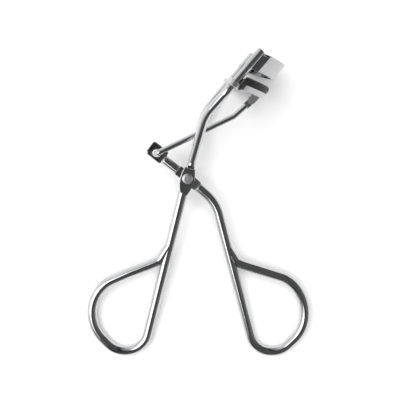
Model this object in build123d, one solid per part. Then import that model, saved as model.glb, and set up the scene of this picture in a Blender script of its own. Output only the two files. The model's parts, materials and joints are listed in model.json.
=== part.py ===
"""Eyelash curler: a wire frame with two rails, a fixed upper jaw, and a lever that slides the lower jaw.

Millimetres. The tool is modelled flat in its own plane, with the rivet's axis on Z through the origin,
the handles towards -Y and the jaws towards +Y. Then the whole tool is laid down as it rests on a table:
on the ends of its two finger loops and on the lower side of its head. The row's origin is the centre of
the footprint, on the table.
"""
import math
import os

from build123d import *

# ---- driving sizes ----------------------------------------------------------------------------------
WIRE_D = 3.2                 # handle wire
ARM_D = 2.7                  # arm wire, from the rivet up to the rails
RAIL_D = 2.3                 # turned-down end of each arm, on which the lower jaw slides
LINK_D = 1.9                 # link wire
RAIL_SPACING = 30.0          # between the two rails' centre lines
RAIL_LEAN = 40.8             # degrees between the rails and the tool's long axis
RAIL_OFFSET = 9.2            # from the rivet's axis to the plane of the rails
SHOULDER_AT = 30.9           # from the rivet's axis, along the rails, to the shoulders they start on
RAIL_L = 12.8
SHAFT_CLEARANCE = 0.05       # radial, round the rivet and the rails
SEAT = 0.01                  # between parts of one body that are pressed or brazed together

FLAT_T = 1.3                 # thickness of the two forged flats at the rivet
FLAT_GAP = 0.2               # between the two flats
FLAT_W = 3.4                 # width of the lever's flat
FLAT_EYE_D = 4.0
RIVET_D = 2.2
RIVET_HEAD_D = 3.4
RIVET_HEAD_H = 0.9
RIVET_FOOT_H = 0.7

LEAF_LEAN = 14.03            # degrees between the frame handle and the tool's long axis
LEAF_TOP = 3.6               # from the rivet up to the leaf's square end
LEAF_TAIL = 6.1              # from the rivet down to the leaf's tip
LEAF_TOP_W = 3.14
LEAF_W = 4.66
LEAF_TAIL_W = 2.0
LEAF_WAIST = -0.9            # where the leaf is widest, along it from the rivet
LEAF_BEVEL = 0.2
RAMP_FROM = 5.0              # below the rivet, the frame's wire rises from the leaf's face to its own
RAMP_TO = 7.4
ARM_LEAN = 15.4              # degrees between the foot of the arms and the tool's long axis
SADDLE_AT = 3.4              # from the rivet up to the block that carries the arms
SADDLE_END = 4.5
SADDLE_W = 2.6
SADDLE_ROUND = 0.6
ARM_FOOT_SPACING = 3.0
ARM_FOOT_L = 1.1
ARM_TURN_L = 2.3             # straight piece of each arm below its shoulder
ARM_BEVEL = 0.15

LEVER_LEAN = 131.0           # degrees between the lever's flat and the tool's long axis
LEVER_FLAT_END = 4.35        # from the rivet to where the lever's wire is round again
NECK_FROM = 4.1              # the same, on the side of the link plate
NECK_TO = 9.8
NECK_D = 3.1
LINK_HOLE = (-9.95, 7.97)    # centre of the link's hole in the lever's plate
LINK_HOLE_PLAY = 0.25        # radial, round the link's hook
PLATE_L = 6.3
PLATE_W = 4.95
PLATE_SHIFT = 0.32           # the plate's centre lies this far across from its hole
PLATE_BEVEL = 0.3
PLATE_ROUND = 1.0

JAW_SLOPE = 0.35             # rise along the rails for each millimetre out from them
JAW_CORNER_OUT = 3.2         # from the rails' plane out to the corner where a jaw's curve starts
JAW_OVERHANG = 0.3           # from a rail's centre line out to the upper jaw's outer face
JAW_SAGITTA = 6.0            # depth of the upper jaw's curve
JAW_T = 0.6
JAW_START_OUT = 0.9
JAW_H = 5.63
JAW_RISE = 6.82              # from the shoulders to the upper jaw's lower edge, in the rails' plane
LIP_PROUD = 0.35
LIP_H = 0.8
SLEEVE_WALL = 0.15
SLEEVE_RISE = 7.1            # from the shoulders to the sleeves' open ends
SLEEVE_CAP = 0.4             # from a rail's end to the closed end of its sleeve
SLEEVE_ROUND = 0.5

PAD_OVERHANG = 0.7           # from a rail's centre line out to the pad's outer face
PAD_SAGITTA = 7.25
PAD_T = 2.4
PAD_RISE = 4.18              # from the shoulders to the top of the pad, in the rails' plane
PAD_START_OUT = 1.6
PAD_OUTER_ROUND = 1.5        # along the top of the pad, on the outside of its curve
PAD_INNER_ROUND = 0.5
CHANNEL_WALL = 0.4
CHANNEL_FLOOR = 0.45
CHANNEL_RISE = 1.72          # from the shoulders to the channel's upper edge, in the rails' plane
CHANNEL_H = 1.8
CHANNEL_START_OUT = 2.45
TAB_W = 2.2
TAB_L = 1.3
TAB_H = 1.05
TAB_OVERLAP = 1.05           # how far a tab reaches in from the channel's start
TAB_INSET = 0.5              # from a rail's centre line in to the middle of its tab
EYELET_D = 4.2
EYELET_H = 1.6
EYELET_BEVEL = 0.2
SHOULDER_GAP = 0.05          # between the eyelets and the shoulders they stop on

LINK_PIN_D = 1.0
LINK_PIN_PLAY = 0.12         # radial, in the link's eye: it takes up what the plain ratios leave out
LINK_PIN_RISE = 1.0          # from the shoulders, along the rails
LINK_PIN_OUT = 8.4           # out from the rails' plane
LINK_EYE_T = 1.1
LINK_EYE_D = 2.2
LINK_EYE_L = 2.5
HOOK_DEPTH = 2.4
HOOK_RISE = 1.2
EAR_T = 0.6
EAR_CLEARANCE = 0.15         # between the eye and each ear
EAR_R = 1.2
BRIDGE_T = 0.4
PIN_HEAD_D = 1.7
PIN_HEAD_H = 0.35

# Corners of the bent wires, each followed by the radii of the bends between its two ends.
FRAME_DOWN = [(-1.49, -4.7), (-15.2, -59.4), (-24.9, -59.4), (-32.25, -51.4), (-32.25, -46.1)]
FRAME_DOWN_R = [8.0, 7.6, 13.2]
FRAME_BACK = [(-32.25, -46.1), (-32.25, -41.0), (-27.4, -35.35), (-20.0, -32.0), (-13.2, -29.3),
              (-9.2, -27.5), (-6.0, -22.5)]
FRAME_BACK_R = [13.2, 10.0, 40.0, 20.0, 3.0]
LEVER_DOWN = [(9.2, -8.0), (22.55, -59.6), (31.6, -59.6), (39.35, -51.85), (39.35, -46.56)]
LEVER_DOWN_R = [14.0, 7.35, 7.7, 12.6]
LEVER_BACK = [(39.35, -46.56), (39.35, -41.35), (34.03, -34.2), (18.5, -29.2), (16.1, -28.2), (13.1, -23.3)]
LEVER_BACK_R = [15.5, 11.2, 20.0, 2.5]
ARM_WIDE = (5.7, 20.65)      # where the arms stop spreading so fast, at this share of the half spacing
ARM_WIDE_SHARE = 0.7
ARM_BEND_L = [1.058, 3.192, 1.152]      # what each of the arms' bends takes from the runs beside it
LINK_BEND = (14.72, 19.73, 0.3)
LINK_R = [1.4, 3.0]
FOOT_Y = -59.5               # the loops' lowest centre line, on which the tool rests

# ---- directions and helpers -------------------------------------------------------------------------
LEAN = math.radians(RAIL_LEAN)
ALONG = Vector(math.sin(LEAN), math.cos(LEAN), 0)
OUT = Vector(math.cos(LEAN), -math.sin(LEAN), 0)
HALF_SPACING = RAIL_SPACING / 2
RAIL_END_AT = SHOULDER_AT + RAIL_L
JAW_HALF_W = HALF_SPACING + JAW_OVERHANG
JAW_BASE_AT = SHOULDER_AT + JAW_RISE
SLEEVE_FROM = SHOULDER_AT + SLEEVE_RISE
SLEEVE_TO = RAIL_END_AT + SLEEVE_CAP
PAD_HALF_W = HALF_SPACING + PAD_OVERHANG
PAD_TOP_AT = SHOULDER_AT + PAD_RISE
CHANNEL_TOP_AT = SHOULDER_AT + CHANNEL_RISE
CHANNEL_BASE_AT = CHANNEL_TOP_AT - CHANNEL_H
LINK_PIN_AT = SHOULDER_AT + LINK_PIN_RISE
LINK_HOLE_D = LINK_D + 2 * LINK_HOLE_PLAY
EAR_GAP = LINK_EYE_T + 2 * EAR_CLEARANCE
EYELET_FROM = SHOULDER_AT + SHOULDER_GAP
LINK_PIN = ALONG * LINK_PIN_AT + OUT * (LINK_PIN_OUT - RAIL_OFFSET)
SIDES = (-1, 1)


def head_point(along, out, z=0.0):
    """A point of the head: distance along the rails, distance out from their plane, and height."""
    return ALONG * along + OUT * (out - RAIL_OFFSET) + Vector(0, 0, z)


def head_plane(along=0.0):
    """A plane across the rails: its x axis points out from them, its y axis is the tool's Z."""
    return Plane(origin=head_point(along, 0), x_dir=OUT, z_dir=-ALONG)


def heading(lean):
    """The direction that leans this many degrees from +Y towards +X."""
    return Vector(math.sin(math.radians(lean)), math.cos(math.radians(lean)), 0)


def bent_wire(points, radii, diameter):
    """A round wire whose centre line is straight runs joined by tangent arcs."""
    path = FilletPolyline(*points, radius=radii)
    section = Plane(origin=path @ 0, z_dir=path % 0) * Circle(diameter / 2)
    return sweep(section, path=path)


def bend_radii(points, lengths):
    """The radii of bends that each take a given length from the two runs beside them."""
    corners = [Vector(point) for point in points]
    radii = []
    for before, corner, after, length in zip(corners, corners[1:], corners[2:], lengths):
        turn = (corner - before).get_angle(after - corner)
        radii.append(length / math.tan(math.radians(turn / 2)))
    return radii


def rod(start, end, diameter):
    """A straight round rod between two points."""
    axis = Vector(*end) - Vector(*start)
    return Solid.make_cylinder(diameter / 2, axis.length, Plane(origin=start, z_dir=axis.normalized()))


def upright(x, y, low, high, diameter):
    """A rod parallel to the rivet."""
    return rod((x, y, low), (x, y, high), diameter)


def on_rail(side, low, high, diameter):
    """A rod centred on one of the rails."""
    z = side * HALF_SPACING
    return rod(head_point(low, 0, z), head_point(high, 0, z), diameter)


def slab(low, high, start_out):
    """The space between two sloping jaw edges, from a distance out from the rails' plane."""
    reach = 40.0
    rise = JAW_SLOPE * reach
    fall = JAW_SLOPE * start_out
    corners = [(start_out, low + fall), (reach, low + rise), (reach, high + rise), (start_out, high + fall)]
    points = [head_point(along, out, -reach) for out, along in corners]
    return extrude(make_face(Polyline(*points, close=True)), 2 * reach, dir=(0, 0, 1))


def jaw(half_w, sagitta, thickness, low, high, start_out):
    """A jaw: two flats beside the rails joined by one long arc, trimmed between two sloping edges."""
    radius = (half_w ** 2 + sagitta ** 2) / (2 * sagitta)
    centre = JAW_CORNER_OUT + sagitta - radius
    crown = centre + radius - thickness
    inner_half = half_w - thickness
    inner_corner = centre + math.sqrt((radius - thickness) ** 2 - inner_half ** 2)
    plan = make_face([
        Line((0, -half_w), (JAW_CORNER_OUT, -half_w)),
        ThreePointArc((JAW_CORNER_OUT, -half_w), (centre + radius, 0), (JAW_CORNER_OUT, half_w)),
        Line((JAW_CORNER_OUT, half_w), (0, half_w)),
        Line((0, half_w), (0, inner_half)),
        Line((0, inner_half), (inner_corner, inner_half)),
        ThreePointArc((inner_corner, inner_half), (crown, 0), (inner_corner, -inner_half)),
        Line((inner_corner, -inner_half), (0, -inner_half)),
        Line((0, -inner_half), (0, -half_w)),
    ])
    margin = 10.0
    column = extrude(head_plane(low - margin) * plan, high - low + 3 * margin, dir=ALONG)
    return column & slab(low, high, start_out)


# ---- frame ------------------------------------------------------------------------------------------
def make_frame_handle():
    """The fixed handle: a wire bent into a finger loop and forged into a leaf at the rivet."""
    down = bent_wire(FRAME_DOWN, FRAME_DOWN_R, WIRE_D)
    back = bent_wire(FRAME_BACK, FRAME_BACK_R, WIRE_D)
    top = LEAF_TOP_W / 2
    tail = LEAF_TAIL_W / 2
    shoulder = tail / 2 - LEAF_TAIL
    axis = heading(LEAF_LEAN)
    leaf_plane = Plane(origin=(0, 0, FLAT_GAP / 2), x_dir=(axis.Y, -axis.X, 0), z_dir=(0, 0, 1))
    outline = make_face([
        Line((-top, LEAF_TOP), (top, LEAF_TOP)),
        ThreePointArc((top, LEAF_TOP), (LEAF_W / 2, LEAF_WAIST), (tail, shoulder)),
        ThreePointArc((tail, shoulder), (0, -LEAF_TAIL), (-tail, shoulder)),
        ThreePointArc((-tail, shoulder), (-LEAF_W / 2, LEAF_WAIST), (-top, LEAF_TOP)),
    ])
    leaf = extrude(leaf_plane * outline, FLAT_T)
    leaf = chamfer(leaf.edges().group_by(Axis.Z)[-1].sort_by(SortBy.LENGTH)[-2:], LEAF_BEVEL)
    leaf_face = FLAT_GAP / 2 + FLAT_T
    wire_top = WIRE_D / 2 + 2 * SEAT
    ramp_start = RAMP_FROM - 1.0
    ramp_plane = Plane(origin=(0, 0, 0), x_dir=-axis, z_dir=(-axis.Y, axis.X, 0))
    ramp = make_face(Polyline((ramp_start, leaf_face), (RAMP_FROM, leaf_face), (RAMP_TO, wire_top),
                              (RAMP_TO, WIRE_D), (ramp_start, WIRE_D), close=True))
    ramp_cut = extrude(ramp_plane * ramp, WIRE_D, both=True)
    foot_axis = heading(ARM_LEAN)
    saddle_plane = Plane(origin=foot_axis * SADDLE_AT, x_dir=(0, 0, 1), z_dir=foot_axis)
    saddle_depth = ARM_FOOT_SPACING + ARM_D + 0.2
    saddle_section = RectangleRounded(saddle_depth, SADDLE_W, SADDLE_ROUND)
    saddle = extrude(saddle_plane * saddle_section, SADDLE_END - SADDLE_AT)
    return (down - ramp_cut) + back + leaf + saddle - upright(0, 0, -WIRE_D, WIRE_D, RIVET_D + 2 * SEAT)


def make_frame_arm(side):
    """One of the two arms: it spreads from the rivet, then turns along the rails and is turned down."""
    foot_axis = heading(ARM_LEAN)
    rise = Vector(0, 0, side * ARM_FOOT_SPACING / 2)
    foot = foot_axis * SADDLE_END + rise
    knee = foot_axis * (SADDLE_END + ARM_FOOT_L) + rise
    wide = (*ARM_WIDE, side * ARM_WIDE_SHARE * HALF_SPACING)
    turn = head_point(SHOULDER_AT - ARM_TURN_L, 0, side * HALF_SPACING)
    shoulder = head_point(SHOULDER_AT, 0, side * HALF_SPACING)
    route = [foot, knee, wide, turn, shoulder]
    arm = bent_wire(route, bend_radii(route, ARM_BEND_L), ARM_D)
    arm = chamfer(arm.edges().filter_by(GeomType.CIRCLE).sort_by_distance(shoulder)[0], ARM_BEVEL)
    rail = on_rail(side, SHOULDER_AT - ARM_BEVEL, RAIL_END_AT, RAIL_D)
    return arm + rail


def make_upper_jaw():
    """The fixed upper jaw: a thin curved plate with a rolled lip, joined to a sleeve at each side."""
    high = JAW_BASE_AT + JAW_H
    plate = jaw(JAW_HALF_W, JAW_SAGITTA, JAW_T, JAW_BASE_AT, high, JAW_START_OUT)
    lip = jaw(JAW_HALF_W + LIP_PROUD, JAW_SAGITTA, JAW_T + LIP_PROUD, high - LIP_H, high, JAW_START_OUT)
    body = plate + lip
    for side in SIDES:
        body -= on_rail(side, SHOULDER_AT, RAIL_END_AT + 5, RAIL_D + 2 * SLEEVE_WALL + 4 * SEAT)
    return body


def make_upper_jaw_sleeve(side):
    """The closed sleeve that caps one rail and carries one end of the upper jaw."""
    sleeve = on_rail(side, SLEEVE_FROM, SLEEVE_TO, RAIL_D + 2 * SLEEVE_WALL + 2 * SEAT)
    tip = head_point(SLEEVE_TO, 0, side * HALF_SPACING)
    sleeve = fillet(sleeve.edges().filter_by(GeomType.CIRCLE).sort_by_distance(tip)[0], SLEEVE_ROUND)
    return sleeve - on_rail(side, SLEEVE_FROM - 1, RAIL_END_AT + SEAT, RAIL_D + 2 * SEAT)


def make_pivot_rivet():
    """The rivet: a domed head over the frame's leaf and a flat foot under the lever."""
    face = FLAT_GAP / 2 + FLAT_T
    foot_face = -face - SHAFT_CLEARANCE * 2
    head = upright(0, 0, face, face + RIVET_HEAD_H, RIVET_HEAD_D)
    head = fillet(head.edges().group_by(Axis.Z)[-1], RIVET_HEAD_H * 0.8)
    shank = upright(0, 0, foot_face, face, RIVET_D)
    foot = upright(0, 0, foot_face - RIVET_FOOT_H, foot_face, RIVET_HEAD_D)
    foot = fillet(foot.edges().group_by(Axis.Z)[0], RIVET_FOOT_H * 0.7)
    return head + shank + foot


# ---- lever ------------------------------------------------------------------------------------------
def flat_plane():
    """The lower face of the lever's flats."""
    return Plane.XY.offset(-FLAT_GAP / 2 - FLAT_T)


def make_lever_handle():
    """The moving handle: a wire with a finger loop, a flat at the rivet and a plate for the link."""
    start = heading(LEVER_LEAN) * LEVER_FLAT_END
    down = bent_wire([start, *LEVER_DOWN], LEVER_DOWN_R, WIRE_D)
    back = bent_wire(LEVER_BACK, LEVER_BACK_R, WIRE_D)
    toward_plate = Vector(*LINK_HOLE).normalized()
    neck_start = toward_plate * NECK_FROM
    flats = Circle(FLAT_EYE_D / 2)
    for direction, length in ((heading(LEVER_LEAN), LEVER_FLAT_END), (toward_plate, NECK_FROM)):
        run = Plane(origin=direction * (length / 2), x_dir=direction, z_dir=(0, 0, 1))
        flats += run * Rectangle(length, FLAT_W)
    flat = extrude(flat_plane() * flats, FLAT_T)
    neck = rod(neck_start, toward_plate * NECK_TO, NECK_D)
    across = Vector(-toward_plate.Y, toward_plate.X, 0)
    plate_centre = Vector(*LINK_HOLE) - across * PLATE_SHIFT
    plate_plane = Plane(origin=plate_centre + Vector(0, 0, -FLAT_GAP / 2 - FLAT_T), x_dir=toward_plate,
                        z_dir=(0, 0, 1))
    plate = extrude(plate_plane * RectangleRounded(PLATE_L, PLATE_W, PLATE_ROUND), FLAT_T)
    plate = chamfer(plate.edges().group_by(Axis.Z)[-1], PLATE_BEVEL)
    body = down + back + flat + neck + plate
    body -= upright(0, 0, -WIRE_D, WIRE_D, RIVET_D + 2 * SHAFT_CLEARANCE)
    return body - upright(*LINK_HOLE, -WIRE_D, WIRE_D, LINK_HOLE_D)


# ---- link -------------------------------------------------------------------------------------------
def make_link_wire():
    """The link: hooked through the lever's plate at one end, flattened to an eye at the other."""
    bend = Vector(*LINK_BEND)
    last_run = (LINK_PIN - bend).normalized()
    wire_end = LINK_PIN - last_run * (LINK_EYE_L - 0.4)
    wire = bent_wire([(*LINK_HOLE, -HOOK_DEPTH), (*LINK_HOLE, HOOK_RISE), bend, wire_end], LINK_R, LINK_D)
    in_plane = Vector(last_run.X, last_run.Y, 0).normalized()
    eye_plane = Plane(origin=LINK_PIN - Vector(0, 0, LINK_EYE_T / 2), x_dir=in_plane, z_dir=(0, 0, 1))
    tongue = Pos(-LINK_EYE_L / 2, 0) * Rectangle(LINK_EYE_L, LINK_EYE_D) + Circle(LINK_EYE_D / 2)
    eye = extrude(eye_plane * tongue, LINK_EYE_T)
    return wire + eye - upright(LINK_PIN.X, LINK_PIN.Y, -LINK_D, LINK_D, LINK_PIN_D + 2 * LINK_PIN_PLAY)


def make_link_pin():
    """The headed pin through the bracket's ears and the link's eye."""
    half = EAR_GAP / 2 + EAR_T + SEAT
    shank = upright(LINK_PIN.X, LINK_PIN.Y, -half, half, LINK_PIN_D)
    upper = upright(LINK_PIN.X, LINK_PIN.Y, half, half + PIN_HEAD_H, PIN_HEAD_D)
    lower = upright(LINK_PIN.X, LINK_PIN.Y, -half - PIN_HEAD_H, -half, PIN_HEAD_D)
    return shank + upper + lower


def make_link_bracket():
    """The small two-eared bracket brazed under the middle of the lower jaw."""
    reach = 3.0
    base = head_plane(LINK_PIN_AT - EAR_R)
    ear = Pos(LINK_PIN_OUT, 0) * Rectangle(2 * EAR_R, EAR_GAP + 2 * EAR_T)
    block = extrude(base * ear, EAR_R + reach, dir=ALONG) & slab(LINK_PIN_AT - 9, CHANNEL_BASE_AT - SEAT, 0)
    gap = extrude(base * (Pos(LINK_PIN_OUT, 0) * Rectangle(4 * EAR_R, EAR_GAP)), EAR_R + reach, dir=ALONG)
    gap = gap & slab(LINK_PIN_AT - 9, CHANNEL_BASE_AT - BRIDGE_T, 0)
    nose = upright(LINK_PIN.X, LINK_PIN.Y, -reach, reach, 2 * EAR_R)
    upper_half = extrude(head_plane(LINK_PIN_AT) * (Pos(LINK_PIN_OUT, 0) * Rectangle(9, 9)), 9, dir=ALONG)
    block = (block & nose) + (block & upper_half)
    return block - gap - upright(LINK_PIN.X, LINK_PIN.Y, -reach, reach, LINK_PIN_D + 2 * SEAT)


# ---- lower jaw --------------------------------------------------------------------------------------
def make_guide_eyelet(side):
    """The ring that slides on one rail and carries one end of the lower jaw."""
    ring = on_rail(side, EYELET_FROM, EYELET_FROM + EYELET_H, EYELET_D)
    ring = chamfer(ring.edges().filter_by(GeomType.CIRCLE), EYELET_BEVEL)
    return ring - on_rail(side, EYELET_FROM - 1, EYELET_FROM + EYELET_H + 1, RAIL_D + 2 * SHAFT_CLEARANCE)


def make_lash_pad():
    """The rubber pad, seated in the lower jaw's channel and rounded along its top."""
    pad = jaw(PAD_HALF_W, PAD_SAGITTA, PAD_T, CHANNEL_BASE_AT + CHANNEL_FLOOR, PAD_TOP_AT, PAD_START_OUT)
    upward = Axis(origin=(0, 0, 0), direction=ALONG - OUT * JAW_SLOPE)
    outer = pad.faces().sort_by(upward)[-1].edges().sort_by(SortBy.LENGTH)[-1]
    pad = fillet(outer, PAD_OUTER_ROUND)
    inner = pad.faces().sort_by(upward)[-1].edges().sort_by(SortBy.LENGTH)[-2]
    pad = fillet(inner, PAD_INNER_ROUND)
    for side in SIDES:
        pad -= on_rail(side, SHOULDER_AT - 2, CHANNEL_TOP_AT + 0.15, EYELET_D + 0.6)
    return pad


def make_lower_jaw(pad):
    """The channel that holds the pad, with a tab at each end for its eyelet."""
    body = jaw(PAD_HALF_W + CHANNEL_WALL, PAD_SAGITTA, PAD_T + 2 * CHANNEL_WALL, CHANNEL_BASE_AT,
               CHANNEL_TOP_AT, CHANNEL_START_OUT)
    tab_from = EYELET_FROM + (EYELET_H - TAB_H) / 2
    tab_out = CHANNEL_START_OUT + TAB_L / 2 - TAB_OVERLAP
    for side in SIDES:
        tab = Pos(tab_out, side * (HALF_SPACING - TAB_INSET)) * Rectangle(TAB_L, TAB_W)
        body += extrude(head_plane(tab_from) * tab, TAB_H, dir=ALONG)
    for side in SIDES:
        body -= on_rail(side, SHOULDER_AT - 2, CHANNEL_TOP_AT + 2, EYELET_D + 2 * SEAT)
    return body - pad


lash_pad = make_lash_pad()
nodes = {
    "frame_handle": make_frame_handle(),
    "frame_arm_near": make_frame_arm(1),
    "frame_arm_far": make_frame_arm(-1),
    "upper_jaw": make_upper_jaw(),
    "upper_jaw_sleeve_near": make_upper_jaw_sleeve(1),
    "upper_jaw_sleeve_far": make_upper_jaw_sleeve(-1),
    "pivot_rivet": make_pivot_rivet(),
    "lever_handle": make_lever_handle(),
    "link_wire": make_link_wire(),
    "link_bracket": make_link_bracket(),
    "link_pin": make_link_pin(),
    "lower_jaw": make_lower_jaw(lash_pad),
    "guide_eyelet_near": make_guide_eyelet(1),
    "guide_eyelet_far": make_guide_eyelet(-1),
    "lash_pad": lash_pad,
}

# ---- lay the tool down and save each piece ----------------------------------------------------------
loop_foot = Vector(0, FOOT_Y, 0)
eyelet_foot = head_point(EYELET_FROM, 0, -HALF_SPACING - EYELET_D / 2)
span = Vector(0, eyelet_foot.Y, eyelet_foot.Z) - loop_foot
REST_TILT = -math.degrees(math.atan2(span.Z, span.Y) + math.asin(WIRE_D / 2 / span.length))
tilted = Rot(REST_TILT, 0, 0)
box = Compound(children=[tilted * part for part in nodes.values()]).bounding_box()
placed = Pos(-box.center().X, -box.center().Y, -box.min.Z) * tilted

os.makedirs("parts", exist_ok=True)
for name, part in nodes.items():
    solids = (placed * part).solids()
    print(f"{name:24s} solids {len(solids)}  volume {sum(s.volume for s in solids):8.2f} mm3")
    export_step(solids[0] if len(solids) == 1 else Compound(solids), f"parts/{name}.step")

places = {"rivet": Vector(0, 0, 0), "link_pin": LINK_PIN, "link_hole": Vector(*LINK_HOLE)}
for name, point in places.items():
    moved = placed * Pos(*point)
    print(name, [round(v, 4) for v in moved.position])
directions = {"rivet_axis": Vector(0, 0, 1), "rail_direction": ALONG, "out_direction": OUT}
for name, direction in directions.items():
    turned = (tilted * Pos(*direction)).position
    print(name, [round(v, 6) for v in turned])
print("rest tilt", round(REST_TILT, 3), "size", [round(v, 3) for v in box.size])
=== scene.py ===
# %% [markdown]
# # An eyelash curler on a white table
# The tool is polished wire and thin plate: two handles crossed at a rivet, two arms that turn into
# rails, and a curved jaw that slides towards a fixed one. Almost everything seen on chrome is the room
# around it, so the lesson spends as much care on the lights and the table as on the metal.
# Lengths are metres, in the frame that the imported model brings.

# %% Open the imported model
import json
import math

import bmesh
import bpy
from mathutils import Matrix, Vector


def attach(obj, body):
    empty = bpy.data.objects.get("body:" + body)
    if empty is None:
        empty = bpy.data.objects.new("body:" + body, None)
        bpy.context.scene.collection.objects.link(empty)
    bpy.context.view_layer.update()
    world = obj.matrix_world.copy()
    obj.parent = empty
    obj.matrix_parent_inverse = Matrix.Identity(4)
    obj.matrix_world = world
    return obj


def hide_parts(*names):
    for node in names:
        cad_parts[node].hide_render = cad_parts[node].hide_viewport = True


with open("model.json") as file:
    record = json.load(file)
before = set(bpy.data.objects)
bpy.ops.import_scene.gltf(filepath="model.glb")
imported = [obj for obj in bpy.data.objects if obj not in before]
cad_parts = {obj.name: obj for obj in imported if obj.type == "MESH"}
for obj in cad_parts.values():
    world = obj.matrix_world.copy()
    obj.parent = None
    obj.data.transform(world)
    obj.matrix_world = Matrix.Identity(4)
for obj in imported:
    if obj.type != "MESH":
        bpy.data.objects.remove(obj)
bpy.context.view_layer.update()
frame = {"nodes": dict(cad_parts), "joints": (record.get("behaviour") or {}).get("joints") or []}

MM = 0.001
nodes = frame["nodes"]
print("nodes:", sorted(nodes))

# %% [markdown]
# The tool was designed flat, in its own plane, and then laid down as it rests on a table. The lever's
# hinge tells where its rivet went and how far the plane is tipped, so every size below can be written in
# the tool's own flat frame: the rivet's axis is Z, the handles point to -Y and the jaws to +Y.

# %% Where the tool lies
hinge = next(j for j in frame["joints"] if j["name"] == "lever_hinge")
RIVET = Vector(hinge["pos_m"])
TIP = math.atan2(hinge["axis"][1], -hinge["axis"][2])
LAY_DOWN = Matrix.Translation(RIVET) @ Matrix.Rotation(TIP, 4, "X")
print(f"rivet at {tuple(round(v / MM, 2) for v in RIVET)} mm, tipped {math.degrees(TIP):.2f} degrees")

# %% [markdown]
# Shader maths reads best as plain expressions. The small class below wraps one output socket, so
# `0.4 + cloud * 0.1` adds its Math nodes by itself. Any other node comes from one function that takes
# the node's type, its settings and the values of its sockets.

# %% A socket that can be added and multiplied
class Signal:
    """One output socket of a material, with arithmetic."""

    def __init__(self, tree, socket):
        self.tree = tree
        self.socket = socket

    def math(self, operation, a, b):
        """A Math node on two values or signals."""
        return node(self.tree, "ShaderNodeMath", {"operation": operation}, {0: a, 1: b})

    def __add__(self, other):
        return self.math("ADD", self, other)

    __radd__ = __add__

    def __mul__(self, other):
        return self.math("MULTIPLY", self, other)

    __rmul__ = __mul__


def node(tree, kind, settings=None, sockets=None, output=0):
    """Adds a node, sets its settings, then its sockets by name or number, and returns one output."""
    made = tree.nodes.new(kind)
    for key, value in (settings or {}).items():
        if key == "stops":
            elements = made.color_ramp.elements
            while len(elements) < len(value):
                elements.new(0.5)
            for element, (place, colour) in zip(elements, value):
                element.position = place
                element.color = (*colour, 1.0)
        else:
            setattr(made, key, value)
    for key, value in (sockets or {}).items():
        if isinstance(value, Signal):
            tree.links.new(value.socket, made.inputs[key])
        else:
            made.inputs[key].default_value = value
    return Signal(tree, made.outputs[output])


def grey(value):
    """The same number for red, green and blue."""
    return (value, value, value)


def tint(value):
    """The grey of chrome, a trace bluer than neutral."""
    return (value, value, value + 0.01)


def new_material(name, **constants):
    """An empty Principled material and its shader node."""
    material = bpy.data.materials.new(name)
    material.use_nodes = True
    shader = material.node_tree.nodes["Principled BSDF"]
    for socket, value in constants.items():
        shader.inputs[socket.replace("_", " ")].default_value = value
    return material, material.node_tree, shader


def feed(shader, socket, signal):
    """Links a signal to one of the shader's sockets."""
    signal.tree.links.new(signal.socket, shader.inputs[socket])

# %% [markdown]
# Bright chrome is a mirror with a life behind it: a faint cloudiness where fingers polished it, hair
# scratches that only show beside a highlight, and a slow waviness from drawing and plating. The
# roughness carries the first two, and a very weak bump the third. One recipe makes all the bright
# metals, and the numbers say which is which.

# %% Bright metals
OBJECT_COORDINATES = 3
CLOUD_SCALE = 180.0
GRAIN_SCALE = 2600.0
HAIR_SCALE = (9000.0, 500.0, 9000.0)
RIPPLE_HEIGHT = 0.1 * MM


def noise(tree, place, scale, detail):
    """A soft noise over a place."""
    return node(tree, "ShaderNodeTexNoise", {}, {"Vector": place, "Scale": scale, "Detail": detail})


def bump(tree, height, strength, distance):
    """Turns a height into a slight tilt of the surface."""
    return node(tree, "ShaderNodeBump", {}, {"Height": height, "Strength": strength, "Distance": distance})


def ramp(tree, signal, stops):
    """Colours picked along a ramp by a signal."""
    return node(tree, "ShaderNodeValToRGB", {"stops": stops}, {"Fac": signal})


def bright_metal(name, light, dark, polish, haze, wave, wave_size, brushed=0.0):
    """Plated metal: its grey drifts from dark to light, its roughness upwards from polish."""
    material, tree, shader = new_material(name, Metallic=1.0)
    place = node(tree, "ShaderNodeTexCoord", output=OBJECT_COORDINATES)
    cloud = noise(tree, place, CLOUD_SCALE, 4.0)
    grain = noise(tree, place, GRAIN_SCALE, 3.0)
    stretched = node(tree, "ShaderNodeMapping", {}, {"Vector": place, "Scale": HAIR_SCALE})
    hair = noise(tree, stretched, 1.0, 2.0)
    feed(shader, "Base Color", ramp(tree, cloud, [(0.35, tint(dark)), (0.6, tint(light))]))
    feed(shader, "Roughness", polish + cloud * haze + hair * (haze * 0.5 + brushed))
    height = noise(tree, place, wave_size, 1.0) + grain * 0.02 + hair * (0.02 + brushed)
    feed(shader, "Normal", bump(tree, height, wave, RIPPLE_HEIGHT))
    print(f"{name}: roughness {polish:.2f} to {polish + 1.5 * haze + brushed:.2f}")
    return material


WIRE = bright_metal("polished_wire", light=0.62, dark=0.57, polish=0.02, haze=0.03, wave=0.05,
                    wave_size=420.0)
PLATE = bright_metal("polished_plate", light=0.48, dark=0.43, polish=0.05, haze=0.06, wave=0.06,
                     wave_size=300.0)
FITTING = bright_metal("turned_fitting", light=0.72, dark=0.64, polish=0.26, haze=0.12, wave=0.12,
                       wave_size=700.0, brushed=0.05)

# %% [markdown]
# The pad is moulded silicone rubber, almost black, with a soft sheen, a fine moulded grain and a
# little dust that greys it. It is no mirror: the sheen comes from a middling roughness.

# %% Rubber
DUST_SCALE = 900.0
MOULD_GRAIN_SCALE = 5200.0
MOULD_GRAIN_HEIGHT = 0.05 * MM
RUBBER_ROUGHNESS = 0.42
DUST_ROUGHNESS = 0.14


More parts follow.
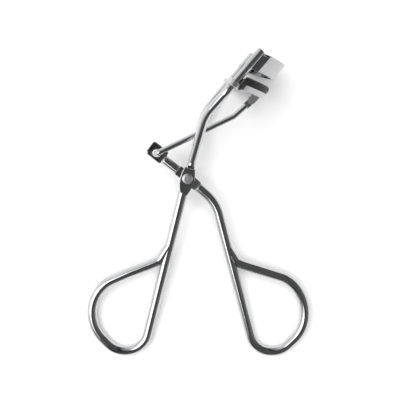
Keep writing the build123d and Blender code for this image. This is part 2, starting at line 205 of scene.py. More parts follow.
def moulded_rubber():
    """Near-black rubber with a fine grain and a breath of dust."""
    material, tree, shader = new_material("moulded_rubber", Metallic=0.0, Specular_IOR_Level=0.22)
    place = node(tree, "ShaderNodeTexCoord", output=OBJECT_COORDINATES)
    dust = noise(tree, place, DUST_SCALE, 5.0)
    grain = noise(tree, place, MOULD_GRAIN_SCALE, 3.0)
    greys = [(0.42, grey(0.012)), (0.62, grey(0.018)), (0.80, grey(0.035))]
    feed(shader, "Base Color", ramp(tree, dust, greys))
    feed(shader, "Roughness", RUBBER_ROUGHNESS + dust * DUST_ROUGHNESS)
    feed(shader, "Normal", bump(tree, grain, 0.25, MOULD_GRAIN_HEIGHT))
    print(f"moulded_rubber: roughness {RUBBER_ROUGHNESS:.2f} to {RUBBER_ROUGHNESS + DUST_ROUGHNESS:.2f}")
    return material


RUBBER = moulded_rubber()

# %% [markdown]
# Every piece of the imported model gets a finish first. Some of them stay in the picture as they are: the
# rivet, the sleeves, the channel, the eyelets, the bracket and its pin are plain turned or folded parts.
# The others are made again below, where bends and rounded rims matter more.

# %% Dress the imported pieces
DRESS = {
    "frame_handle": WIRE,
    "frame_arm_near": WIRE,
    "frame_arm_far": WIRE,
    "lever_handle": WIRE,
    "link_wire": WIRE,
    "upper_jaw": PLATE,
    "upper_jaw_sleeve_near": WIRE,
    "upper_jaw_sleeve_far": WIRE,
    "lower_jaw": PLATE,
    "guide_eyelet_near": FITTING,
    "guide_eyelet_far": FITTING,
    "link_bracket": FITTING,
    "pivot_rivet": FITTING,
    "link_pin": FITTING,
    "lash_pad": RUBBER,
}
for name, material in DRESS.items():
    nodes[name].data.materials.clear()
    nodes[name].data.materials.append(material)
    print(name, "->", material.name, len(nodes[name].data.polygons), "faces")

# %% [markdown]
# ## From a flat drawing to a piece on the table
# Each piece is drawn in the tool's flat frame, in millimetres. The finishing step lays its mesh down as
# the tool lies, shades it smooth except over sharp rims, and says which body carries it. A Weighted
# Normal modifier keeps the large flats truly flat next to their rounded rims, which matters on a mirror.

# %% From the flat frame to a finished piece
SHARP_TURN = 0.6
MERGE_WITHIN = 1e-7


def flat(x, y, z=0.0):
    """A point of the tool's flat frame, given in millimetres."""
    return Vector((x, y, z)) * MM


def heading(lean):
    """The direction that leans this many degrees from +Y towards +X."""
    return Vector((math.sin(math.radians(lean)), math.cos(math.radians(lean)), 0))


def finish_piece(bm, name, body, material, stands_for=None):
    """Merges the mesh, lays it down on the table, smooths it and hands it to its body."""
    bmesh.ops.remove_doubles(bm, verts=bm.verts, dist=MERGE_WITHIN)
    bmesh.ops.recalc_face_normals(bm, faces=bm.faces)
    bmesh.ops.transform(bm, matrix=LAY_DOWN, verts=bm.verts)
    for face in bm.faces:
        face.smooth = True
    for edge in bm.edges:
        if len(edge.link_faces) == 2:
            edge.smooth = edge.calc_face_angle() < SHARP_TURN
    mesh = bpy.data.meshes.new(name)
    bm.to_mesh(mesh)
    bm.free()
    piece = bpy.data.objects.new(name, mesh)
    bpy.context.scene.collection.objects.link(piece)
    mesh.materials.append(material)
    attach(piece, body)
    if stands_for:
        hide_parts(stands_for)
    even = piece.modifiers.new("even_normals", "WEIGHTED_NORMAL")
    even.keep_sharp = True
    print(f"{name}: {len(mesh.polygons)} faces")
    return piece

# %% [markdown]
# ## Making wire
# A wire tool is made by pushing a straight wire round formers, and the mesh can be made the same way: a
# ring of edges is extruded along each straight run and spun round each bend. Spinning keeps the section
# truly round, so the mirror stripes run unbroken through the bends, which a loose chain of points would
# not give. The corners are the same ones the tool was designed with.

# %% Bend a wire
BEND_STEP = math.radians(3.0)
RIM_TURN = 1.0


def rim_verts(edges):
    """The points of a ring of edges, each once."""
    return list({v for e in edges for v in e.verts})


def push(bm, ring, way):
    """Extrudes the ring along a straight run and returns the new ring."""
    made = bmesh.ops.extrude_edge_only(bm, edges=ring)["geom"]
    bmesh.ops.translate(bm, verts=[g for g in made if isinstance(g, bmesh.types.BMVert)], vec=way)
    return [g for g in made if isinstance(g, bmesh.types.BMEdge) and len(g.link_faces) == 1]


def swing(bm, ring, centre, axis, angle):
    """Spins the ring round a bend's centre and returns the last ring."""
    steps = max(2, math.ceil(angle / BEND_STEP))
    made = bmesh.ops.spin(bm, geom=rim_verts(ring) + ring, cent=centre, axis=axis, angle=angle, steps=steps)
    return [g for g in made["geom_last"] if isinstance(g, bmesh.types.BMEdge)]


def add_wire(bm, corners, radii, diameter, sides=40):
    """Adds a closed round wire through corners in metres, with a bend radius for each inner one."""
    made = bmesh.ops.create_circle(bm, cap_ends=False, radius=diameter / 2, segments=sides)
    way = (corners[1] - corners[0]).normalized()
    turn = way.to_track_quat("Z", "Y").to_matrix().to_4x4()
    bmesh.ops.transform(bm, matrix=Matrix.Translation(corners[0]) @ turn, verts=made["verts"])
    ring = list({e for v in made["verts"] for e in v.link_edges})
    first, at = ring, corners[0]
    for corner, after, radius in zip(corners[1:-1], corners[2:], radii):
        onward = (after - corner).normalized()
        angle = way.angle(onward)
        setback = radius * math.tan(angle / 2)
        bend_start = corner - way * setback
        ring = push(bm, ring, bend_start - at)
        axis = way.cross(onward).normalized()
        centre = bend_start + axis.cross(way) * radius
        ring = swing(bm, ring, centre, axis, angle)
        at, way = corner + onward * setback, onward
    ring = push(bm, ring, corners[-1] - at)
    bmesh.ops.contextual_create(bm, geom=first)
    bmesh.ops.contextual_create(bm, geom=ring)


def round_end(bm, place, rounding):
    """Rounds the rim of a wire's cut end at a place."""
    rim = [e for e in bm.edges if e.calc_face_angle() > RIM_TURN and (e.verts[0].co - place).length < 2 * MM]
    bmesh.ops.bevel(bm, geom=rim, offset=rounding, segments=3, profile=0.5, affect="EDGES", material=-1)

# %% [markdown]
# Four thicknesses of round wire are used, for the handles, the arms, the rails and the link. The leaf,
# the lever's flat and the link's plate share one thickness. The handles cross at the rivet, the leaf above
# and the lever's flat below with a small gap between them, and the rails lean away from the long axis.
# These few sizes and angles place everything that follows.

# %% Sizes shared by many pieces
WIRE_D = 3.2 * MM
ARM_D = 2.7 * MM
RAIL_D = 2.3 * MM
LINK_D = 1.9 * MM
FLAT_T = 1.3 * MM
FLAT_GAP = 0.2 * MM
LEAF_LEAN = 14.03
LEVER_LEAN = 131.0
RAIL_LEAN = 40.8
RAIL_OFFSET = 9.2
HALF_SPACING = 15.0
print(f"handle wire {WIRE_D / MM:.1f} mm, rails {2 * HALF_SPACING:.0f} mm apart")

# %% [markdown]
# Flat pieces begin as an outline. A point is drawn along straight edges and spun round arcs until it
# comes back to the start, the loop is filled, and the face is pushed up to its thickness. Every rim is
# then rounded a little, because stamped and plated parts never keep a knife edge, and that thin round is
# what catches the light.

# %% Outlines, drawn with one point
def line_on(bm, start, place):
    """Draws a straight edge from a point and returns its far end."""
    tip = bmesh.ops.extrude_vert_indiv(bm, verts=[start])["verts"][0]
    tip.co = place
    return tip


def arc_on(bm, start, through, end, steps=24):
    """Spins a point from start round the circle through two more points, and returns the last point."""
    a, b, c = start.co.xy, through.xy, end.xy
    aa, bb, cc = a.length_squared, b.length_squared, c.length_squared
    d = 2 * (a.x * (b.y - c.y) + b.x * (c.y - a.y) + c.x * (a.y - b.y))
    x = (aa * (b.y - c.y) + bb * (c.y - a.y) + cc * (a.y - b.y)) / d
    y = (aa * (c.x - b.x) + bb * (a.x - c.x) + cc * (b.x - a.x)) / d
    bearings = [math.atan2(p.y - y, p.x - x) for p in (a, b, c)]
    to_through = (bearings[1] - bearings[0]) % math.tau
    to_end = (bearings[2] - bearings[0]) % math.tau
    angle = to_end if to_through < to_end else to_end - math.tau
    axis = (0, 0, math.copysign(1.0, angle))
    centre = (x, y, start.co.z)
    made = bmesh.ops.spin(bm, geom=[start], cent=centre, axis=axis, angle=abs(angle), steps=steps)
    return next(g for g in made["geom_last"] if isinstance(g, bmesh.types.BMVert))


def close_outline(bm):
    """Joins the two ends of the outline and fills it."""
    bmesh.ops.remove_doubles(bm, verts=bm.verts, dist=MERGE_WITHIN)
    ends = [v for v in bm.verts if len(v.link_edges) == 1]
    if ends:
        bmesh.ops.contextual_create(bm, geom=ends)
    bmesh.ops.contextual_create(bm, geom=bm.edges[:])


def thicken(bm, depth):
    """Pushes the filled outline up by its thickness."""
    made = bmesh.ops.extrude_face_region(bm, geom=bm.faces[:])
    raised = [g for g in made["geom"] if isinstance(g, bmesh.types.BMVert)]
    bmesh.ops.translate(bm, verts=raised, vec=(0, 0, depth))
    bmesh.ops.recalc_face_normals(bm, faces=bm.faces)


def round_rims(bm, rounding, segments=3):
    """Rounds every steep edge."""
    rims = [e for e in bm.edges if len(e.link_faces) == 2 and e.calc_face_angle() > RIM_TURN]
    bmesh.ops.bevel(bm, geom=rims, offset=rounding, segments=segments, profile=0.5, affect="EDGES",
                    material=-1, clamp_overlap=True)


def join_into(bm, other):
    """Moves everything from another mesh into this one."""
    carrier = bpy.data.meshes.new("carrier")
    other.to_mesh(carrier)
    other.free()
    bm.from_mesh(carrier)
    bpy.data.meshes.remove(carrier)


def turned(bm, lean, height, centre=(0, 0)):
    """Turns a mesh that was drawn along Y until it leans, and lifts it to its height."""
    place = Matrix.Translation(flat(*centre)) @ Matrix.Rotation(math.radians(-lean), 4, "Z")
    bmesh.ops.transform(bm, matrix=Matrix.Translation((0, 0, height)) @ place, verts=bm.verts)

# %% [markdown]
# ## The fixed handle
# One wire leaves the rivet, bends round into the finger loop and is welded back onto itself. The face of
# the forged leaf runs out over the wire as a long shallow ramp, so the wire is cut there by a sloping
# plane, and the cut is filled.

# %% Bend the fixed handle
FIXED_LOOP = [(-1.49, -4.7), (-15.2, -59.4), (-24.9, -59.4), (-32.25, -51.4), (-32.25, -41.0),
              (-27.4, -35.35), (-20.0, -32.0), (-13.2, -29.3), (-9.2, -27.5), (-6.0, -22.5)]
FIXED_LOOP_BENDS = [8.0, 7.6, 13.2, 13.2, 10.0, 40.0, 20.0, 3.0]
RAMP_FROM = 5.0
RAMP_L = 2.4
RAMP_RISE = 0.22


def cut_off(bm, place, outward):
    """Cuts away what lies outside a plane and fills the cut."""
    everything = bm.verts[:] + bm.edges[:] + bm.faces[:]
    cut = bmesh.ops.bisect_plane(bm, geom=everything, dist=MERGE_WITHIN, plane_co=place, plane_no=outward,
                                 clear_outer=True)
    rim = [g for g in cut["geom_cut"] if isinstance(g, bmesh.types.BMEdge)]
    bmesh.ops.contextual_create(bm, geom=rim)


def fixed_handle():
    """The loop wire of the fixed handle, with the forge's ramp cut across its start."""
    bm = bmesh.new()
    add_wire(bm, [flat(*corner) for corner in FIXED_LOOP], [r * MM for r in FIXED_LOOP_BENDS], WIRE_D)
    down = -heading(LEAF_LEAN)
    ramp_foot = down * RAMP_FROM * MM + Vector((0, 0, FLAT_GAP / 2 + FLAT_T))
    ramp_up = Vector((0, 0, RAMP_L)) - down * RAMP_RISE
    cut_off(bm, ramp_foot, ramp_up.normalized())
    return finish_piece(bm, "fixed_handle_wire", "frame", WIRE, "frame_handle")


fixed_handle()

# %% [markdown]
# The top of the wire is forged flat into a leaf over the rivet: square at the top, widest just below the
# rivet and drawn to a blunt tip. Two long arcs and a short one between them give that outline. The
# forge leaves no sharp edge, so all its rims are rounded.

# %% Forge its leaf
LEAF_TOP = 3.6
LEAF_TAIL = 6.1
LEAF_WAIST = -0.9
LEAF_TIP_FROM = -5.6
LEAF_HALF_W = 2.33
LEAF_HALF_TOP_W = 1.57
LEAF_HALF_TIP_W = 1.0
LEAF_ROUND = 0.22 * MM


def leaf():
    """The leaf-shaped flat over the rivet."""
    bm = bmesh.new()
    start = bmesh.ops.create_vert(bm, co=flat(-LEAF_HALF_TOP_W, LEAF_TOP))["vert"][0]
    point = line_on(bm, start, flat(LEAF_HALF_TOP_W, LEAF_TOP))
    point = arc_on(bm, point, flat(LEAF_HALF_W, LEAF_WAIST), flat(LEAF_HALF_TIP_W, LEAF_TIP_FROM))
    point = arc_on(bm, point, flat(0, -LEAF_TAIL), flat(-LEAF_HALF_TIP_W, LEAF_TIP_FROM), 10)
    arc_on(bm, point, flat(-LEAF_HALF_W, LEAF_WAIST), flat(-LEAF_HALF_TOP_W, LEAF_TOP))
    close_outline(bm)
    thicken(bm, FLAT_T)
    round_rims(bm, LEAF_ROUND)
    turned(bm, LEAF_LEAN, FLAT_GAP / 2)
    return finish_piece(bm, "leaf", "frame", WIRE)


leaf()

# %% [markdown]
# A small block is brazed across the top of the leaf. It is taller than the leaf is thick, because both
# arms stand on it, one above the middle plane and one below. A cube is scaled to size and its rims are
# rounded.

# %% The block that carries the arms
ARM_LEAN = 15.4
SADDLE_END = 4.5
SADDLE_SIZE = (2.6, 1.1, 5.9)
SADDLE_ROUND = 0.35 * MM


def saddle():
    """A small brazed block at the top of the leaf, with the feet of both arms on it."""
    bm = bmesh.new()
    bmesh.ops.create_cube(bm, size=1.0)
    bmesh.ops.scale(bm, vec=flat(*SADDLE_SIZE), verts=bm.verts)
    round_rims(bm, SADDLE_ROUND, segments=4)
    bmesh.ops.translate(bm, vec=flat(0, SADDLE_END - SADDLE_SIZE[1] / 2), verts=bm.verts)
    turned(bm, ARM_LEAN, 0)
    return finish_piece(bm, "arm_saddle", "frame", WIRE)


saddle()

# %% [markdown]
# ## The arms and rails
# Two arms leave the block side by side, spread apart, and turn to run parallel as rails. Each is turned
# down at a shoulder, where the lower jaw stops. One function makes both, with the sign of their side.

# %% Spread the arms
LEAN = math.radians(RAIL_LEAN)
ALONG = Vector((math.sin(LEAN), math.cos(LEAN), 0))
OUT = Vector((math.cos(LEAN), -math.sin(LEAN), 0))
SHOULDER_AT = 30.9
RAIL_END_AT = 43.7
ARM_FOOT_RISE = 1.5
ARM_FOOT_L = 1.1
ARM_WIDE = (5.7, 20.65, 0.7 * HALF_SPACING)
ARM_TURN_L = 2.3
ARM_BENDS = [4.0, 16.0, 5.0]
RAIL_OVERLAP = 0.1
SHOULDER_ROUND = 0.2 * MM


def head_point(along, out, z=0.0):
    """A point of the head: distance along the rails, distance out from their plane, and height, in mm."""
    return (ALONG * along + OUT * (out - RAIL_OFFSET) + Vector((0, 0, z))) * MM


def arm(side, name):
    """One arm, from the block to its shoulder, and the thinner rail beyond."""
    z = side * HALF_SPACING
    foot_axis = heading(ARM_LEAN)
    rise = Vector((0, 0, side * ARM_FOOT_RISE))
    foot = (foot_axis * SADDLE_END + rise) * MM
    knee = (foot_axis * (SADDLE_END + ARM_FOOT_L) + rise) * MM
    wide = flat(ARM_WIDE[0], ARM_WIDE[1], side * ARM_WIDE[2])
    turn = head_point(SHOULDER_AT - ARM_TURN_L, 0, z)
    shoulder = head_point(SHOULDER_AT, 0, z)
    bm = bmesh.new()
    add_wire(bm, [foot, knee, wide, turn, shoulder], [r * MM for r in ARM_BENDS], ARM_D)
    round_end(bm, shoulder, SHOULDER_ROUND)
    rail = [head_point(SHOULDER_AT - RAIL_OVERLAP, 0, z), head_point(RAIL_END_AT, 0, z)]
    add_wire(bm, rail, [], RAIL_D)
    return finish_piece(bm, f"arm_wire_{name}", "frame", WIRE, f"frame_arm_{name}")


arm(1, "near")
arm(-1, "far")

# %% [markdown]
# ## The moving handle
# The second handle is the lever: the same wire and loop, a flat where it crosses the rivet, and beyond
# the rivet a short neck with a plate for the link. The flats lie under the leaf, so they take up the
# other half of the wire's thickness.

# %% Bend the lever
LEVER_FLAT_END = 4.35
MOVING_LOOP = [(9.2, -8.0), (22.55, -59.6), (31.6, -59.6), (39.35, -51.85), (39.35, -41.35), (34.03, -34.2),
               (18.5, -29.2), (16.1, -28.2), (13.1, -23.3)]
MOVING_LOOP_BENDS = [14.0, 7.35, 7.7, 12.6, 15.5, 11.2, 20.0, 2.5]
STEP_ROUND = 0.3 * MM


def moving_handle():
    """The loop wire of the lever, from the step beside its flat."""
    start = heading(LEVER_LEAN) * LEVER_FLAT_END * MM
    corners = [start] + [flat(*corner) for corner in MOVING_LOOP]
    bm = bmesh.new()
    add_wire(bm, corners, [r * MM for r in MOVING_LOOP_BENDS], WIRE_D)
    round_end(bm, start, STEP_ROUND)
    return finish_piece(bm, "moving_handle_wire", "lever", WIRE, "lever_handle")


moving_handle()

# %% [markdown]
# The rivet passes through the lever's flat. Its two straight halves meet at a slight angle, because the
# link's plate doesn't lie exactly opposite the handle. Beyond the flat, a short round neck and a plate
# with one hole carry the link.

# %% Its flat
LINK_HOLE = Vector((-9.95, 7.97, 0))
PLATE_LEAN = math.degrees(math.atan2(LINK_HOLE.x, LINK_HOLE.y))
FLAT_HALF_W = 1.7
FLAT_ROUND = 0.2 * MM
NECK_FROM = 4.1


def lever_flat():
    """The flat that the rivet passes through: two straight halves that meet at a slight angle."""
    bm = bmesh.new()
    start = bmesh.ops.create_vert(bm, co=flat(FLAT_HALF_W, -LEVER_FLAT_END))["vert"][0]
    point = line_on(bm, start, flat(FLAT_HALF_W, 0))
    bend = Matrix.Rotation(math.radians(LEVER_LEAN - 180 - PLATE_LEAN), 3, "Z")
    point = line_on(bm, point, bend @ flat(FLAT_HALF_W, NECK_FROM))
    point = line_on(bm, point, bend @ flat(-FLAT_HALF_W, NECK_FROM))
    point = line_on(bm, point, flat(-FLAT_HALF_W, 0))
    line_on(bm, point, flat(-FLAT_HALF_W, -LEVER_FLAT_END))
    close_outline(bm)
    thicken(bm, FLAT_T)
    round_rims(bm, FLAT_ROUND)
    turned(bm, LEVER_LEAN - 180, -FLAT_GAP / 2 - FLAT_T)
    return finish_piece(bm, "lever_flat", "lever", WIRE)


lever_flat()

# %% [markdown]
# The neck is a straight piece of wire, a little thinner than the handle. The plate is drawn as a
# rectangle with its corners rounded, and the hole as a circle inside it. Bridging the two loops makes a
# clean ring of faces, so the hole's rim can be rounded like every other.

# %% Its neck and its plate
NECK_TO = 9.8
NECK_D = 3.1 * MM
NECK_ROUND = 0.5 * MM
PLATE_W = 4.95
PLATE_L = 6.3
PLATE_SHIFT = 0.32
PLATE_CORNER = 1.0 * MM
PLATE_ROUND = 0.3 * MM
LINK_HOLE_D = 2.4 * MM


def lever_neck():
    """The round neck between the flat and the plate."""
    way = LINK_HOLE.normalized() * MM
    bm = bmesh.new()
    add_wire(bm, [way * NECK_FROM, way * NECK_TO], [], NECK_D)
    round_end(bm, way * NECK_FROM, STEP_ROUND)
    round_end(bm, way * NECK_TO, NECK_ROUND)
    return finish_piece(bm, "lever_neck", "lever", WIRE)


def link_plate():
    """The plate at the end of the neck, with the hole for the link's hook."""
    bm = bmesh.new()
    bmesh.ops.create_grid(bm, x_segments=1, y_segments=1, size=0.5)
    bmesh.ops.scale(bm, vec=flat(PLATE_W, PLATE_L, 1), verts=bm.verts)
    bmesh.ops.bevel(bm, geom=bm.verts[:], offset=PLATE_CORNER, segments=6, profile=0.5, affect="VERTICES",
                    material=-1)
    bmesh.ops.delete(bm, geom=bm.faces[:], context="FACES_ONLY")
    bmesh.ops.translate(bm, vec=flat(PLATE_SHIFT, 0), verts=bm.verts)
    bmesh.ops.create_circle(bm, cap_ends=False, radius=LINK_HOLE_D / 2, segments=28)
    bmesh.ops.bridge_loops(bm, edges=bm.edges[:])
    thicken(bm, FLAT_T)
    round_rims(bm, PLATE_ROUND)
    turned(bm, PLATE_LEAN, -FLAT_GAP / 2 - FLAT_T, (LINK_HOLE.x, LINK_HOLE.y))
    return finish_piece(bm, "link_plate", "lever", WIRE)


lever_neck()
link_plate()

# %% [markdown]
# ## The link
# A thin wire carries the lever's swing to the lower jaw. One end is hooked down through the plate, the
# other is hammered flat into an eye that sits between the two ears of a bracket.

# %% Bend the link
LINK_PIN = head_point(31.9, 8.4)
LINK_BEND = flat(14.72, 19.73, 0.3)
LINK_WAY = (LINK_PIN - LINK_BEND).normalized()
HOOK_DEPTH = 2.4
HOOK_RISE = 1.2
LINK_BENDS = [1.4, 3.0]
EYE_HALF_W = 1.1
EYE_L = 2.6
EYE_T = 1.1 * MM
EYE_ROUND = 0.15 * MM
EYE_FROM = 2.0
HOOK_ROUND = 0.3 * MM
WIRE_END_ROUND = 0.35 * MM


def add_eye(bm):
    """Adds the flattened tongue round the pin, with a round end."""
    eye = bmesh.new()
    start = bmesh.ops.create_vert(eye, co=flat(EYE_HALF_W, -EYE_L))["vert"][0]
    point = line_on(eye, start, flat(EYE_HALF_W, 0))
    point = arc_on(eye, point, flat(0, EYE_HALF_W), flat(-EYE_HALF_W, 0))
    line_on(eye, point, flat(-EYE_HALF_W, -EYE_L))
    close_outline(eye)
    thicken(eye, EYE_T)
    round_rims(eye, EYE_ROUND)
    lean = math.degrees(math.atan2(LINK_WAY.x, LINK_WAY.y))
    turned(eye, lean, -EYE_T / 2, (LINK_PIN.x / MM, LINK_PIN.y / MM))
    join_into(bm, eye)


def link():
    """The link's wire and its flattened eye."""
    hole = LINK_HOLE * MM
    hook_end = hole + flat(0, 0, -HOOK_DEPTH)
    wire_end = LINK_PIN - LINK_WAY * EYE_FROM * MM
    bm = bmesh.new()
    corners = [hook_end, hole + flat(0, 0, HOOK_RISE), LINK_BEND, wire_end]
    add_wire(bm, corners, [r * MM for r in LINK_BENDS], LINK_D, 32)
    round_end(bm, hook_end, HOOK_ROUND)
    round_end(bm, wire_end, WIRE_END_ROUND)
    add_eye(bm)
    return finish_piece(bm, "link", "link", WIRE, "link_wire")


link()

# %% [markdown]
# ## The curved jaws
# A jaw's plan is two short flats beside the rails and one long arc between them. The plan is carried
# along the rails like a pastry cutter, then two sloping planes cut it to its height. The same function
# shapes the thin upper jaw, its rolled lip and the thick rubber pad.

# %% Cut a jaw
HEAD = Matrix((
    (OUT.x, 0, ALONG.x, -OUT.x * RAIL_OFFSET * MM),
    (OUT.y, 0, ALONG.y, -OUT.y * RAIL_OFFSET * MM),
    (0, -1, 0, 0),
    (0, 0, 0, 1),
))
CORNER_OUT = 3.2
SLOPE = 0.35
ARC_STEPS = 72
SPARE_BELOW = 1.0
SPARE_ABOVE = 8.0


def crest_edges(jaw, high, start_out, outside):
    """The edges along the top of a jaw's outer or inner wall, in the head's own axes."""
    rim = []
    for edge in jaw.edges:
        middle = (edge.verts[0].co + edge.verts[1].co) / 2 / MM
        walls = [face for face in edge.link_faces if abs(face.normal.z) < 0.5]
        on_top = abs(middle.z - high - SLOPE * middle.x) < 0.01
        if on_top and len(walls) == 1 and middle.x > start_out + 0.001:
            faces_out = walls[0].normal.xy.dot(middle.xy) > 0
            if faces_out == outside:
                rim.append(edge)
    return rim


def jaw_outline(jaw, half_w, sagitta, thickness, start_out, base):
    """Draws the plan of a jaw: outer flat, outer arc, outer flat, and back along the inner side."""
    radius = (half_w ** 2 + sagitta ** 2) / (2 * sagitta)
    centre = CORNER_OUT + sagitta - radius
    inner = half_w - thickness
    inner_corner = centre + math.sqrt((radius - thickness) ** 2 - inner ** 2)
    start = bmesh.ops.create_vert(jaw, co=flat(start_out, -half_w, base))["vert"][0]
    point = line_on(jaw, start, flat(CORNER_OUT, -half_w, base))
    point = arc_on(jaw, point, flat(centre + radius, 0), flat(CORNER_OUT, half_w), ARC_STEPS)
    point = line_on(jaw, point, flat(start_out, half_w, base))
    point = line_on(jaw, point, flat(start_out, inner, base))
    point = line_on(jaw, point, flat(inner_corner, inner, base))
    point = arc_on(jaw, point, flat(centre + radius - thickness, 0), flat(inner_corner, -inner), ARC_STEPS)
    line_on(jaw, point, flat(start_out, -inner, base))


def add_jaw(bm, half_w, sagitta, thickness, low, high, start_out, rounding=0, crest=()):
    """Adds one jaw's body in the head's own axes and lays it in the flat frame. Sizes are in mm."""
    base = low - SPARE_BELOW
    jaw = bmesh.new()
    jaw_outline(jaw, half_w, sagitta, thickness, start_out, base)
    close_outline(jaw)
    thicken(jaw, (high - base + SPARE_ABOVE) * MM)
    tilt = Vector((-SLOPE, 0, 1)).normalized()
    cut_off(jaw, flat(0, 0, low), -tilt)
    cut_off(jaw, flat(0, 0, high), tilt)
    bmesh.ops.recalc_face_normals(jaw, faces=jaw.faces)
    for radius, outside in zip(crest, (True, False)):
        rim = crest_edges(jaw, high, start_out, outside)
        bmesh.ops.bevel(jaw, geom=rim, offset=radius * MM, segments=8, profile=0.5, affect="EDGES",
                        material=-1)
        jaw.normal_update()
    if rounding:
        round_rims(jaw, rounding * MM)
    bmesh.ops.transform(jaw, matrix=HEAD, verts=jaw.verts)
    join_into(bm, jaw)

# %% [markdown]
# The upper jaw is thin polished plate, pressed to the curve of an eyelid. Its upper edge is rolled
# outwards into a low lip, which is the same shape again, a little thicker and only as high as the roll.

# %% The upper jaw and its lip
JAW_HALF_W = 15.3
JAW_SAGITTA = 6.0
JAW_T = 0.6
JAW_LOW = 37.72
JAW_HIGH = JAW_LOW + 5.63
JAW_START_OUT = 1.31
JAW_ROUND = 0.1
LIP_PROUD = 0.35
LIP_H = 0.8
LIP_ROUND = 0.3


def upper_jaw():
    """The thin plate of the upper jaw with its rolled lip."""
    bm = bmesh.new()
    add_jaw(bm, JAW_HALF_W, JAW_SAGITTA, JAW_T, JAW_LOW, JAW_HIGH, JAW_START_OUT, JAW_ROUND)
    add_jaw(bm, JAW_HALF_W + LIP_PROUD, JAW_SAGITTA, JAW_T + LIP_PROUD, JAW_HIGH - LIP_H, JAW_HIGH,
            JAW_START_OUT, LIP_ROUND)
    return finish_piece(bm, "upper_jaw_plate", "frame", PLATE, "upper_jaw")


upper_jaw()

# %% [markdown]
# The pad is a thick strip of rubber that stands out of the lower jaw's channel. Its top is rounded, more
# on the outside of the curve than on the inside, so that lashes aren't cut.

# %% The rubber pad
PAD_HALF_W = 15.7
PAD_SAGITTA = 7.25
PAD_T = 2.4
PAD_LOW = 31.35
PAD_HIGH = 35.08
PAD_START_OUT = 1.75
PAD_ROUNDS = (1.5, 0.5)


def pad():
    """The moulded pad, rounded along its top, above the channel that holds it."""
    bm = bmesh.new()
    add_jaw(bm, PAD_HALF_W, PAD_SAGITTA, PAD_T, PAD_LOW, PAD_HIGH, PAD_START_OUT, crest=PAD_ROUNDS)
    return finish_piece(bm, "rubber_pad", "sliding_jaw", RUBBER, "lash_pad")


pad()

# %% [markdown]
# The table is a plain white sheet. Lit past white it gives the clean ground of a catalogue picture, and
# the chrome mirrors it on every face that looks down.

# %% Table
TABLE_REACH = 1.2
FIBRE_SCALE = 60.0


def white_table():
    """A large plain sheet under the tool."""
    material, tree, shader = new_material("white_table", Roughness=0.9)
    place = node(tree, "ShaderNodeTexCoord", output=OBJECT_COORDINATES)
    fibre = noise(tree, place, FIBRE_SCALE, 2.0)
    feed(shader, "Base Color", ramp(tree, fibre, [(0.3, grey(0.86)), (0.7, grey(0.88))]))
    bm = bmesh.new()
    bmesh.ops.create_grid(bm, x_segments=1, y_segments=1, size=TABLE_REACH)
    mesh = bpy.data.meshes.new("table")
    bm.to_mesh(mesh)
    bm.free()
    sheet = bpy.data.objects.new("table", mesh)
    bpy.context.scene.collection.objects.link(sheet)
    sheet.data.materials.append(material)
    print(f"table {2 * TABLE_REACH:.1f} m square")


white_table()

# %% [markdown]
# The room is dark above the tool, bright towards the left and dim towards the right, so a wire shows a
# dark stripe down its middle between a bright left flank and a paler right rim. A world shader blends
# the tones from one side to the other. It is turned a little, so that the thin link, which lies across
# the others, has its bright flank too.

# %% Room
ROOM_TURN = math.radians(20)
ROOM_TONES = [(0.0, 1.1), (0.12, 1.0), (0.36, 0.30), (0.455, 0.085), (0.488, 0.02), (0.515, 0.04),
              (0.565, 0.12), (0.70, 0.09), (0.90, 0.15), (1.0, 0.30)]


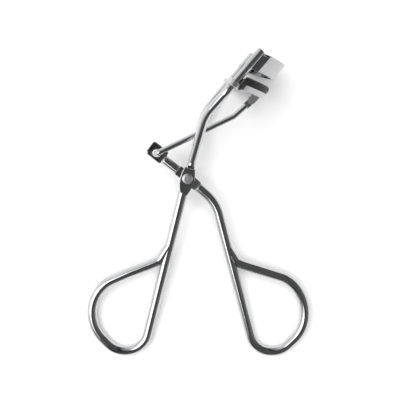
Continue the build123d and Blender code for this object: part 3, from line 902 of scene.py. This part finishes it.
def room():
    """A grey room whose tone runs from left (0) to right (1)."""
    world = bpy.data.worlds.new("room")
    world.use_nodes = True
    bpy.context.scene.world = world
    tree = world.node_tree
    way = node(tree, "ShaderNodeTexCoord", output=0)
    turned_way = node(tree, "ShaderNodeMapping", {}, {"Vector": way, "Rotation": (0, 0, ROOM_TURN)})
    across = node(tree, "ShaderNodeSeparateXYZ", {}, {0: turned_way}, output=0)
    tone = ramp(tree, across * 0.5 + 0.5, [(place, grey(value)) for place, value in ROOM_TONES])
    background = tree.nodes["Background"]
    feed(background, "Color", tone)
    background.inputs["Strength"].default_value = 1.0
    print("room:", len(ROOM_TONES), "tones")


room()

# %% [markdown]
# Two lamps do different jobs. The key hangs almost straight above, lights the table and throws the soft
# shadow, and the metal doesn't mirror it. The soft box far to the left is there only to be mirrored, as
# the bright band along each wire, so it lights nothing else.

# %% Lamps
def soft_lamp(name, place, aim, width, height, radiance):
    """A rectangular lamp of this brightness at a place, turned to a point."""
    light = bpy.data.lights.new(name, "AREA")
    light.shape = "RECTANGLE"
    light.size = width
    light.size_y = height
    light.energy = radiance * math.pi * width * height
    lamp = bpy.data.objects.new(name, light)
    lamp.location = place
    lamp.rotation_euler = (Vector(aim) - Vector(place)).to_track_quat("-Z", "Y").to_euler()
    bpy.context.scene.collection.objects.link(lamp)
    print(f"{name}: {light.energy:.2f} W")
    return lamp


key = soft_lamp("key", place=(-0.05, 0.04, 0.50), aim=(0, 0, 0), width=0.50, height=0.50, radiance=4.6)
key.visible_glossy = False
box = soft_lamp("left_soft_box", place=(-0.64, -0.24, 0.60), aim=(-0.64, -0.24, 0), width=0.86, height=0.62,
                radiance=2.2)
box.visible_diffuse = False

# %% [markdown]
# The camera looks almost straight down from close by. From there the far rail, which lies lower, shows
# beside the near one. The camera's place is given from the table.

# %% Camera
CAMERA_AT = Vector((0.48, 4.92, 210.56)) * MM
CAMERA_TIP = math.radians(-0.83)
FIELD_OF_VIEW = math.radians(36.0)
lens = bpy.data.cameras.new("camera")
lens.sensor_width = 36.0
lens.lens = lens.sensor_width / 2 / math.tan(FIELD_OF_VIEW / 2)
camera = bpy.data.objects.new("camera", lens)
camera.location = CAMERA_AT
camera.rotation_euler = (CAMERA_TIP, 0, 0)
bpy.context.scene.collection.objects.link(camera)
bpy.context.scene.camera = camera
bpy.context.scene.view_settings.view_transform = "Standard"
print(f"camera {CAMERA_AT.z / MM:.0f} mm above the table")
